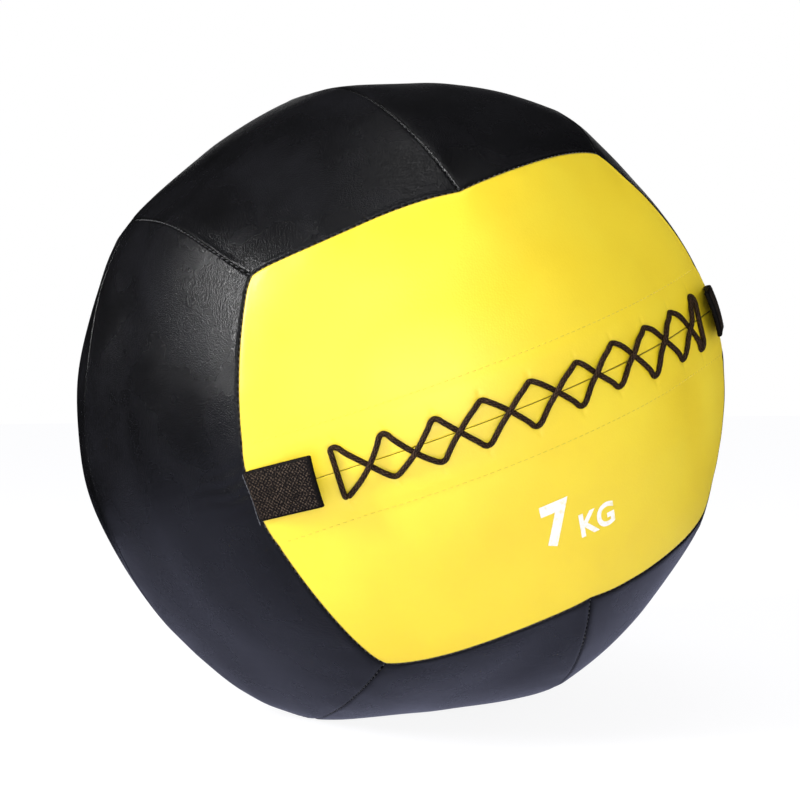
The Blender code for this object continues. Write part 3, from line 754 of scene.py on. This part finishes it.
def lace_places():
    """Points of the lace: distances along and across the slit, and the lift."""
    stops = lace_stops()
    places = [(*hole_place(stops[0]), depth) for depth in reversed(END_DEPTHS)]
    for number, (start, stop) in enumerate(zip(stops, stops[1:])):
        first, second = hole_place(start), hole_place(stop)
        if number % 2:
            places.append((*(first + second) / 2 + (0, start[0] * TURN_OUT), TURN_LIFT))
            continue
        crosses = start[1] != stop[1]
        climbing = (second - first)[0] * (second - first)[1] > 0
        bump = (CROSSING_LIFT if climbing else -CROSSING_SINK) * crosses
        arch = STRAND_ARCH[min(start[1], stop[1])] if crosses else np.zeros(2)
        places.append((*first, HOLE_LIFT))
        for share in STRAND_SHARES:
            lift = LACE_LIFT + bump * bell(share - 0.5, CROSSING_SPAN)
            aside = arch * math.sin(math.pi * share)
            places.append((*(first + (second - first) * share + aside), lift))
        places.append((*second, HOLE_LIFT))
    places += [(*hole_place(stops[-1]), depth) for depth in END_DEPTHS]
    return np.array(places)


def curve_mesh(curve):
    """The mesh of a curve's shape."""
    thing = bpy.data.objects.new(curve.name, curve)
    mesh = bpy.data.meshes.new_from_object(thing)
    bpy.data.objects.remove(thing)
    return mesh


def travelled_to(points):
    """Distance along a line to each of its points."""
    return np.concatenate([[0], np.cumsum(np.linalg.norm(np.diff(points, axis=0), axis=1))])


def smooth_line(points, step):
    """Points a step apart on a smooth curve through the given ones."""
    curve = bpy.data.curves.new("route", "CURVE")
    curve.dimensions = "3D"
    curve.resolution_u = 16
    spline = curve.splines.new("BEZIER")
    spline.bezier_points.add(len(points) - 1)
    for item, point in zip(spline.bezier_points, points):
        item.co = point
        item.handle_left_type = item.handle_right_type = "AUTO"
    fine = np.array([vert.co for vert in curve_mesh(curve).vertices])
    travelled = travelled_to(fine)
    wanted = np.linspace(0, travelled[-1], round(travelled[-1] / step))
    return np.stack([np.interp(wanted, travelled, fine[:, axis]) for axis in range(3)], axis=1)


def tube(points, radius, sides):
    """A bmesh tube through the points, with closed ends."""
    curve = bpy.data.curves.new("tube", "CURVE")
    curve.dimensions = "3D"
    curve.bevel_depth = radius
    curve.bevel_resolution = sides // 2 - 2
    curve.use_fill_caps = True
    spline = curve.splines.new("POLY")
    spline.points.add(len(points) - 1)
    for item, point in zip(spline.points, points):
        item.co = (*point, 1)
    bm = bmesh.new()
    bm.from_mesh(curve_mesh(curve))
    bmesh.ops.remove_doubles(bm, verts=bm.verts[:], dist=radius / 1000)
    return bm


def braid_level(along, around):
    """Height of a braid from 0 to 1, from distances along and shares of a turn around."""
    first = PLAITS * around + along / PLAIT_LENGTH
    second = PLAITS * around - along / PLAIT_LENGTH
    over = (np.floor(first) + np.floor(second)) % 2 == 0
    ridge = np.where(over, np.abs(np.sin(math.pi * first)), np.abs(np.sin(math.pi * second)))
    return np.sqrt(ridge)


def make_lace(finish):
    places = lace_places()
    directions = slit_direction(places[:, 0], places[:, 1])
    line = smooth_line(skin(directions, places[:, 2]), RING_STEP)
    bm = tube(line, CORD_RADIUS - PLAIT_HEIGHT / 2, CORD_SIDES)
    points = vertices(bm)
    tangents = unit(np.gradient(line, axis=0))
    nearest = nearest_ring(points, line)
    outward = points - line[nearest]
    side = unit(np.cross(tangents, line))[nearest]
    upward = np.cross(side, tangents[nearest])
    around = np.arctan2((outward * side).sum(1), (outward * upward).sum(1)) / (2 * math.pi)
    level = braid_level(nearest * RING_STEP, around)
    move_vertices(bm, points + unit(outward) * (level * PLAIT_HEIGHT)[:, None])
    piece = add_to_ball("lace_cord", bm, finish)
    # The plaits' height also colours the cord: painted shade in its creases, painted highlight on its
    # plaits
    point_values(piece.data, "braid", level)
    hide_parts("lace")


def nearest_ring(points, line):
    """Index of the line's point that each point of its tube was made from."""
    tree = KDTree(len(line))
    for index, point in enumerate(line):
        tree.insert(point, index)
    tree.balance()
    return np.array([tree.find(point)[1] for point in points])


# Sewing thread
STITCHES_AT_ONCE = 25
SEAM_PITCH = 3.1 * MM
SEAM_STITCH_SINK = 1.0 * MM
EDGE_STITCH_SINK = 0.75 * MM  # of the coarser ones round the laced face
EDGE_STITCH_IN = 0.35 * MM  # how far they lie on the yellow side
ROOT_PITCH = 2.4 * MM
ROOT_STITCH_OUT = 0.1 * MM  # beyond the slit's end, before the root pulls the seam in
ROOT_STITCH_LIFT = 0.1 * MM
HEM_PITCH = 3.4 * MM
HEM_STITCH_LIFT = 0.02 * MM
HEM_END_MARGIN = 4 * MM  # from the slit's end to the hem's first stitch
HEM_SEAM_MARGIN = 3 * MM


def add_stitches(name, parts, size, thread):
    """Stitches as one piece: parts of (centres, ways along, ways out), and length and thickness."""
    centres, lengthwise, outward = (np.concatenate(column) for column in zip(*parts))
    length, thickness = size
    stretched = Matrix.Diagonal((length / 2, thickness / 2, thickness / 2, 1))
    bm = bmesh.new()
    for first in range(0, len(centres), STITCHES_AT_ONCE):
        few = bmesh.new()
        row = slice(first, first + STITCHES_AT_ONCE)
        for centre, along, normal in zip(centres[row], lengthwise[row], outward[row]):
            along = unit(along - normal * (along @ normal))
            turn = Matrix((along, np.cross(normal, along), normal)).transposed().to_4x4()
            bmesh.ops.create_uvsphere(few, u_segments=6, v_segments=5, radius=1,
                                      matrix=Matrix.Translation(centre) @ turn @ stretched)
        part = bpy.data.meshes.new("few_stitches")
        few.to_mesh(part)
        few.free()
        bm.from_mesh(part)
        bpy.data.meshes.remove(part)
    add_to_ball(name, bm, thread)


def seam_lines():
    """Every sewn seam once, as start and stop directions and whether it edges the laced face."""
    found = {}
    for signs in OCTANTS:
        arcs = SEAM_ARCS + ([SLIT_ARC] if signs[1] > 0 else [])
        for number, (start, stop) in enumerate(arcs):
            ends = (start * signs, stop * signs)
            key = tuple(np.round(np.concatenate(ends), 6) + 0.0)
            found[key] = (*ends, signs[1] < 0 and number in (2, 4))
    return list(found.values())


def stitches_along(start, stop, pitch):
    """Directions at even steps along a seam, and the way that it runs."""
    length = BALL_RADIUS * math.acos(float(start @ stop))
    count = max(1, round(length / pitch))
    shares = (np.arange(count) + 0.5) / count
    start, stop = (np.broadcast_to(end, (count, 3)) for end in (start, stop))
    points = turned(start, stop, shares)
    return points, unit(turned(start, stop, shares + 0.001) - points)


def sew_seams(dark_thread, light_thread):
    """Stitches that slant a little across every sewn seam."""
    laced_parts, plain_parts = [], []
    for start, stop, edges_yellow in seam_lines():
        points, along = stitches_along(start, stop, SEAM_PITCH)
        across = unit(np.cross(points, along))
        if edges_yellow:
            toward = FRONT - points * (points @ FRONT)[:, None]
            across *= np.sign((across * toward).sum(1))[:, None]
            places = unit(points + across * EDGE_STITCH_IN / BALL_RADIUS)
            laced_parts.append((skin(places, -EDGE_STITCH_SINK), along + across * 0.35, points))
        else:
            centres = skin(points, -SEAM_STITCH_SINK, laced=False)
            plain_parts.append((centres, along + across * 0.2, points))
    add_stitches("laced_face_stitches", laced_parts, (2.9 * MM, 0.9 * MM), dark_thread)
    add_stitches("seam_stitches", plain_parts, (2.5 * MM, 0.7 * MM), light_thread)


def sew_roots(thread):
    """A tight row of stitches on the black side of the seam, along each tab's root."""
    across = np.arange(-TAB_WIDTH / 2, TAB_WIDTH / 2, ROOT_PITCH)
    parts = []
    for side in (-1, 1):
        along = side * (SLIT_LENGTH_HALF - across ** 2 / (9 * TAB_WIDTH) + ROOT_STITCH_OUT)
        points = slit_direction(along, across)
        centres = skin(points, ROOT_STITCH_LIFT, laced=False)
        parts.append((centres, unit(np.gradient(centres, axis=0)), points))
    add_stitches("root_stitches", parts, (1.15 * ROOT_PITCH, 0.5 * MM), thread)


def sew_hems(thread):
    """A row of stitches above and below the slit, where its hems are sewn down."""
    half = SLIT_LENGTH_HALF - HEM_END_MARGIN
    parts = []
    for row in (-1, 1):
        points = slit_direction(np.arange(-half, half, HEM_PITCH), row * HEM_WIDTH)
        points = points[seam_distance(points) > HEM_SEAM_MARGIN]
        parts.append((skin(points, HEM_STITCH_LIFT), np.broadcast_to(X, points.shape), points))
    add_stitches("hem_stitches", parts, (2.6 * MM, 0.5 * MM), thread)


# Webbing tabs
TAB_SKEW = 0.9 * MM  # how much longer the webbing's upper edge is
TAB_RAISE = 0.8 * MM
WEBBING_STEP = 0.28 * MM
WEAVE_PITCH = 0.95 * MM  # coarser than the real one, which is too fine to show
WEAVE_HEIGHT = 0.18 * MM
CROSS_BOW = 0.8 * MM  # how far the webbing's long edges bend down
PLY = 1.2 * MM  # one layer of the doubled webbing
FOLD_RADIUS = 0.65 * MM  # of the webbing's middle round the free end
FOLD_STEPS = 9
ROOT_DIP = 1.6 * MM  # how far the sewn root draws the webbing down
ROOT_DIP_LENGTH = 1.4 * MM
UPPER_DIP = 1.4  # times as far for its upper layer
SELVEDGE = 1.3 * MM  # over which the weave dies away, and the colour turns to painted shade, at the long edges and beside the fold
PLAIN_FOLD = 2 * MM  # and beside the fold


def tab_frame(side):
    """Place at the slit's end: X from the seam toward the middle, Z outward."""
    normal = slit_direction(side * SLIT_LENGTH_HALF, 0)
    inward = unit(FRONT - normal * (FRONT @ normal))
    radius = BALL_RADIUS + SEAM_RISE - SOLID_SEAM_DEPTH
    turn = Matrix((inward, np.cross(normal, inward), normal)).transposed().to_4x4()
    return Matrix.Translation(normal * radius) @ turn


def webbing_path(length, stand):
    """The doubled webbing's middle line from its root, round the free end and back."""
    reach = length - TAB_THICKNESS / 2
    out = np.linspace(ROOT_PULL, reach, round(reach / WEBBING_STEP))
    angle = np.clip(out - TAB_ROOT_INSET, 0, None) / TAB_BOW_RADIUS
    fall = TAB_BOW_RADIUS * (1 - np.cos(angle))
    root = (ROOT_DIP + stand) * bell(out - ROOT_PULL, ROOT_DIP_LENGTH)
    height = TAB_HEIGHT + stand - fall
    lower = np.stack([out, height - FOLD_RADIUS - root], axis=1)
    upper = np.stack([out, height + FOLD_RADIUS - root * UPPER_DIP], axis=1)
    turns = np.linspace(-math.pi / 2, math.pi / 2, FOLD_STEPS)[1:-1]
    tip = np.array((reach, height[-1]))
    fold = tip + FOLD_RADIUS * np.stack([np.cos(turns), np.sin(turns)], axis=1)
    return np.concatenate([lower, fold, upper[::-1]])


def make_tab(side, name, length, stand, finish):
    """One tab: doubled webbing that is sewn in at its root and drawn down there."""
    path = webbing_path(length, stand)
    normals = unit(np.stack([np.gradient(path[:, 1]), -np.gradient(path[:, 0])], axis=1))
    rows = round(TAB_WIDTH / WEBBING_STEP)
    bm, station, row = sheet_grid(len(path) - 1, rows)
    across = (row / rows - 0.5) * TAB_WIDTH
    travelled = travelled_to(path)[station]
    weave = np.cos(math.pi * travelled / WEAVE_PITCH) * np.cos(math.pi * across / WEAVE_PITCH)
    from_edge = TAB_WIDTH / 2 - np.abs(across)
    from_fold = np.abs(travelled - travelled.max() / 2)
    weave_and_unshaded_share = eased(from_edge / SELVEDGE) * eased(from_fold / PLAIN_FOLD)
    # There the colour also takes its darkest stop: painted shade on the webbing's edges and fold
    level = (0.5 + 0.5 * weave) * weave_and_unshaded_share
    rounding = edge_drop(from_edge, PLY / 2, PLY / 2)

    def layer(offset_sign):
        offset = offset_sign * (PLY / 2 - rounding + (level - 0.5) * WEAVE_HEIGHT)
        flat = path[station] + normals[station] * offset[:, None]
        bow = CROSS_BOW * (2 * across / TAB_WIDTH) ** 2
        skewed = flat[:, 0] * (1 - side * TAB_SKEW / length * across / TAB_WIDTH * 2)
        return np.stack([skewed, across, flat[:, 1] - bow], axis=1)

    move_vertices(bm, layer(1))
    # The second layer's points come in another order, so the faces along one side edge are long
    for vert, point in zip(grow_back(bm), layer(-1)):
        vert.co = point
    face_outward(bm)
    raised = Matrix.Rotation(-(SLIT_RAISE + TAB_RAISE) / BALL_RADIUS, 4, "X")
    place = BALL @ raised @ tab_frame(side)
    bmesh.ops.transform(bm, matrix=place, verts=bm.verts)
    piece = add_piece("webbing_tab_" + name, bm, finish)
    point_values(piece.data, "weave", np.tile(level, 2))
    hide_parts("tab_" + name, "tab_tail_" + name)
    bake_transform(piece)


# Printed weight
PRINT_STEP = 1.5 * MM  # between the cuts that let the print follow the ball
INK_LIFT = 0.12 * MM


def print_words(name, words, corner, size, bold, ink):
    """Words in ink on the lower laced panel; the corner is the lower left one."""
    curve = bpy.data.curves.new(words, "FONT")
    curve.body = words
    curve.offset = bold
    curve.resolution_u = 6
    bm = bmesh.new()
    bm.from_mesh(curve_mesh(curve))
    points = vertices(bm)
    low, high = points.min(0), points.max(0)
    scale = np.array((size[0] / (high - low)[0], size[1] / (high - low)[1], 1))
    move_vertices(bm, (points - low) * scale)
    for length, axis in zip(size, (Vector((1, 0, 0)), Vector((0, 1, 0)))):
        for number in range(1, int(length / PRINT_STEP) + 1):
            bmesh.ops.bisect_plane(bm, geom=bm.verts[:] + bm.edges[:] + bm.faces[:],
                                   plane_co=axis * (number * PRINT_STEP), plane_no=axis)
    points = vertices(bm)
    directions = slit_direction(corner[0] + points[:, 0], corner[1] + points[:, 1])
    move_vertices(bm, skin(directions, INK_LIFT))
    bmesh.ops.recalc_face_normals(bm, faces=bm.faces[:])
    bm.normal_update()
    if sum((face.normal.dot(face.calc_center_median()) for face in bm.faces)) < 0:
        bmesh.ops.reverse_faces(bm, faces=bm.faces[:])
    add_to_ball(name, bm, ink)


# Filling

def fuller(name, finish, cuts, height, size):
    """A lumpier mesh in the place of a hidden soft solid, never outside it."""
    bm = bmesh.new()
    bm.from_mesh(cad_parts[name].data)
    bmesh.ops.remove_doubles(bm, verts=bm.verts[:], dist=0.01 * MM)
    bmesh.ops.subdivide_edges(bm, edges=bm.edges[:], cuts=cuts, use_grid_fill=True)
    bm.normal_update()
    for vert in bm.verts:
        lump = 0.5 + 0.5 * noise.fractal(vert.co / size, 1.0, 2.0, 3)
        vert.co -= vert.normal * height * min(1.0, max(0.0, lump))
    piece = add_piece(name + "_form", bm, finish)
    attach(piece, "ball")
    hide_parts(name)


def finish_solids(finishes):
    for node, finish in finishes.items():
        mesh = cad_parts[node].data
        mesh.materials.clear()
        mesh.materials.append(finish)


# Studio
FLAG_FOOT, FLAG_TOP = 0.002, 2.602


def aimed(name, data, azimuth, elevation, distance):
    """A camera or lamp that looks at the ball's middle."""
    back = Vector(in_degrees(azimuth, elevation))
    thing = bpy.data.objects.new(name, data)
    thing.location = Vector((0, 0, REST_HEIGHT)) + back * distance
    thing.rotation_euler = back.to_track_quat("Z", "Y").to_euler()
    bpy.context.scene.collection.objects.link(thing)
    return thing


def make_camera():
    """The photograph's view: level with the ball, a little from its left."""
    data = bpy.data.cameras.new("camera")
    data.lens = 64.0
    data.sensor_width = 36.0
    data.shift_x = -0.0014
    data.shift_y = -0.0022
    data.clip_start, data.clip_end = 0.01, 50
    bpy.context.scene.camera = aimed("camera", data, -23.6, 0.5, 792.6 * MM)


def soft_light(name, azimuth, elevation, distance, size, power):
    """A white soft box that faces the ball; its size is a width and a height."""
    data = bpy.data.lights.new(name, "AREA")
    data.shape = "RECTANGLE"
    data.size, data.size_y = size
    data.energy = power
    aimed(name, data, azimuth, elevation, distance)


def make_world():
    """White to the camera; gloss also shows a dim ceiling. An even soft light."""
    world = bpy.data.worlds.new("studio")
    bpy.context.scene.world = world
    world.use_nodes = True
    tree = world.node_tree
    rays = add_node(tree, "LightPath").outputs
    seen_ray = math_node(tree, "MAXIMUM", rays["Is Camera Ray"], rays["Is Glossy Ray"])
    seen_ray = math_node(tree, "MAXIMUM", seen_ray, rays["Is Transmission Ray"])
    up = add_node(tree, "SeparateXYZ", None, Vector=add_node(tree, "TexCoord").outputs["Generated"])
    mirrored = ramp(tree, up.outputs["Z"], (0.12, "#FFFFFF"), (0.4, "#2E2E31"))
    backdrop = mixed(tree, rays["Is Camera Ray"], mirrored, linear("#FFFFFF"))
    seen = add_node(tree, "Background", None, Color=backdrop, Strength=1.0)
    soft = add_node(tree, "Background", None, Color=linear("#FFFFFF"), Strength=0.47)
    both = add_node(tree, "MixShader", None, Fac=seen_ray, i1=soft.outputs[0], i2=seen.outputs[0])
    tree.links.new(both.outputs[0], tree.nodes["World Output"].inputs["Surface"])


def level_square(half_width, height=0.0):
    bm = bmesh.new()
    bmesh.ops.create_grid(bm, x_segments=1, y_segments=1, size=half_width)
    bmesh.ops.translate(bm, vec=(0, 0, height), verts=bm.verts)
    return bm


def stage_sheet(name, bm, material, seen=True):
    """A flat piece of the studio; one that isn't seen shows in gloss alone."""
    sheet = mesh_object(name, bm, material)
    sheet.visible_camera = sheet.visible_shadow = sheet.visible_diffuse = seen


def make_floor():
    """A plain white floor that keeps the ball's shadow."""
    material, tree, shader = new_material("white_floor", 1.0, Specular_IOR_Level=0.0,
                                          Base_Color=linear("#F0F1FF"))
    glow = add_node(tree, "Emission", None, Color=linear("#FFFFFF"), Strength=1.12)
    camera_ray = add_node(tree, "LightPath").outputs["Is Camera Ray"]
    share = math_node(tree, "MULTIPLY", camera_ray, 0.8)
    both = add_node(tree, "MixShader", None, Fac=share, i1=shader.outputs[0], i2=glow.outputs[0])
    tree.links.new(both.outputs[0], tree.nodes["Material Output"].inputs["Surface"])
    stage_sheet("floor", level_square(6), material)


def make_card():
    """A pale blue card on the floor that glows, seen in gloss alone: a painted reflection on the ball's
    underside.
    """
    material, *_ = new_material("glowing_card", 1.0, Base_Color=linear("#000000"),
                                Emission_Color=linear("#D6DAFF"), Emission_Strength=0.55)
    stage_sheet("card", level_square(2, 0.001), material, seen=False)


def make_flag(name, azimuth, distance, near, half_width):
    """A black cloth beside the ball and on the floor up to it, for dark gloss."""
    out = in_degrees(azimuth, 0)
    bm, column, row = sheet_grid(1, 2)
    reach, height = np.array(((near, FLAG_FOOT), (distance, FLAG_FOOT), (distance, FLAG_TOP)))[row].T
    aside = (2 * column - 1) * half_width
    move_vertices(bm, np.outer(reach, out) + np.outer(aside, np.cross(Z, out)) + np.outer(height, Z))
    material, *_ = new_material("black_cloth", 1.0, Specular_IOR_Level=0.0, Base_Color=linear("#050505"))
    stage_sheet(name, bm, material, seen=False)


def make_studio():
    make_camera()
    make_world()
    make_floor()
    make_card()
    soft_light("front", -16, 0, 1.7, (1.1, 1.1), 15.9)
    soft_light("key", -84, 24, 1.3, (0.2, 0.5), 17)
    soft_light("overhead", -25, 72, 1.5, (0.6, 0.6), 3.2)
    make_flag("left_flag", -140, 1.4, 0.35, 1.4)
    make_flag("right_flag", 95, 1.4, 0.5, 1.1)
    bpy.context.scene.view_settings.view_transform = "Standard"


# The object

def build():
    # The last colour of each leather is its painted seam shade
    yellow = leather("yellow_pu_leather", "#F8D81A", "#FADC1C", "#FBE020", "#6A5A10",
                     roughness=0.47, grain=1.1 * MM, grain_height=0.03 * MM, spec=0.85)
    black = leather("black_pu_leather", "#0B0B0C", "#0F0F11", "#141417", "#050505",
                    roughness=0.27, grain=0.7 * MM, grain_height=0.17 * MM, spec=0.22)
    dark_thread = thread_finish("dark_thread", "#1B1608", "#4A3F1E")
    light_thread = thread_finish("grey_thread", "#141416", "#3A3A3E")
    yellow_thread = thread_finish("yellow_thread", "#DDC223", "#F0DA32")
    make_panels(yellow, black)
    make_lace(braid_finish())
    sew_seams(dark_thread, light_thread)
    sew_roots(thread_finish("pale_thread", "#3E4044", "#6C6F73"))
    sew_hems(yellow_thread)
    webbing = webbing_finish()
    make_tab(-1, "left", LEFT_TAB_LENGTH, 0.0, webbing)
    make_tab(1, "right", RIGHT_TAB_LENGTH, RIGHT_TAB_STAND, webbing)
    ink = print_ink()
    print_words("printed_number", "7", (-21.9 * MM, -70 * MM), (16 * MM, 22.5 * MM), 0.045, ink)
    print_words("printed_unit", "KG", (-1.9 * MM, -71.2 * MM), (22 * MM, 12.3 * MM), 0.03, ink)
    cotton, canvas = fibre_finish(), cloth_finish("canvas", "#6E6350", "#B0A284", 0.8 * MM)
    for level in ("upper", "lower"):
        fuller("wadding_" + level, cotton, 3, 1.0 * MM, 12 * MM)
        fuller("ballast_bag_" + level, canvas, 3, 0.3 * MM, 9 * MM)
    lining = cloth_finish("lining_cloth", "#55504A", "#8F887C", 0.6 * MM)
    finish_solids({"lace_facing_upper": lining, "lace_facing_lower": lining,
                   "lace_tongue": lining, "ballast": sand_finish()})


build()
make_studio()
